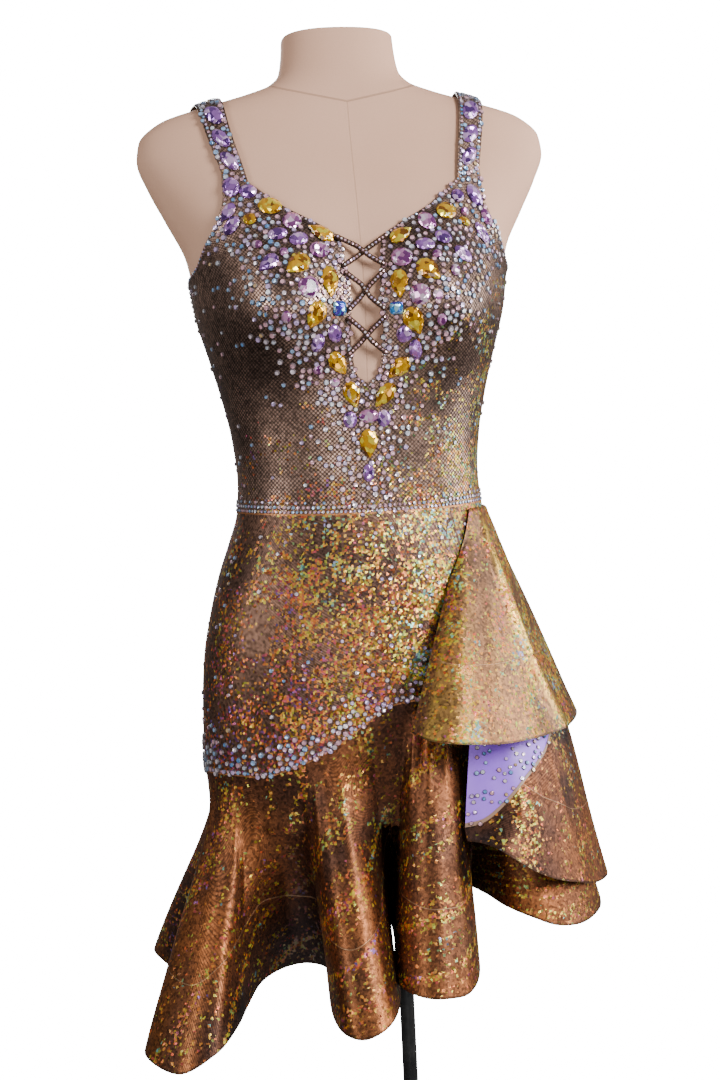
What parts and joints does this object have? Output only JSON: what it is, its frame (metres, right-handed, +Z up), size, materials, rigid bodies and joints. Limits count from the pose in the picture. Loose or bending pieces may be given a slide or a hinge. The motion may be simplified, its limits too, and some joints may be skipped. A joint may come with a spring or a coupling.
{
  "type": "salsa dance dress on a limbless dress form",
  "caption": "Sleeveless latin dance dress with a laced keyhole bodice, slanted hip yoke, full flounce and side cape, on a dress form with a pole and round base.",
  "frame": {"origin": "on the floor under the pole's axis, at the underside of the base", "axes": "+Z up along the pole, front of the dress towards -Y, the wearer's left towards +X"},
  "size_m": [0.4709, 0.4406, 1.462],
  "materials": {
    "bodice_cloth": "bronze foil stretch cloth with a fine net texture and crystals",
    "yoke_cloth": "bronze foil stretch cloth with small many-coloured flecks",
    "flounce_cloth": "copper foil stretch cloth with small many-coloured flecks",
    "petal_cloth": "smooth violet stretch cloth with small crystals",
    "lacing_cord": "bronze cord set with small crystals",
    "form_linen": "plain beige pink linen cover",
    "stand_black": "satin black paint"
  },
  "bodies": {
    "root": {"form_torso": "form_linen", "pole": "stand_black", "base": "stand_black", "bodice_front": "bodice_cloth", "bodice_back": "bodice_cloth", "strap_left": "bodice_cloth", "strap_right": "bodice_cloth", "lacing_1_over": "lacing_cord", "lacing_1_under": "lacing_cord", "lacing_2_over": "lacing_cord", "lacing_2_under": "lacing_cord", "lacing_3_over": "lacing_cord", "lacing_3_under": "lacing_cord", "yoke_front": "yoke_cloth", "yoke_back": "yoke_cloth", "flounce_front": "flounce_cloth", "flounce_back": "flounce_cloth", "petal": "petal_cloth", "petal_flounce": "flounce_cloth", "cape": "flounce_cloth"}
  },
  "joints": []
}
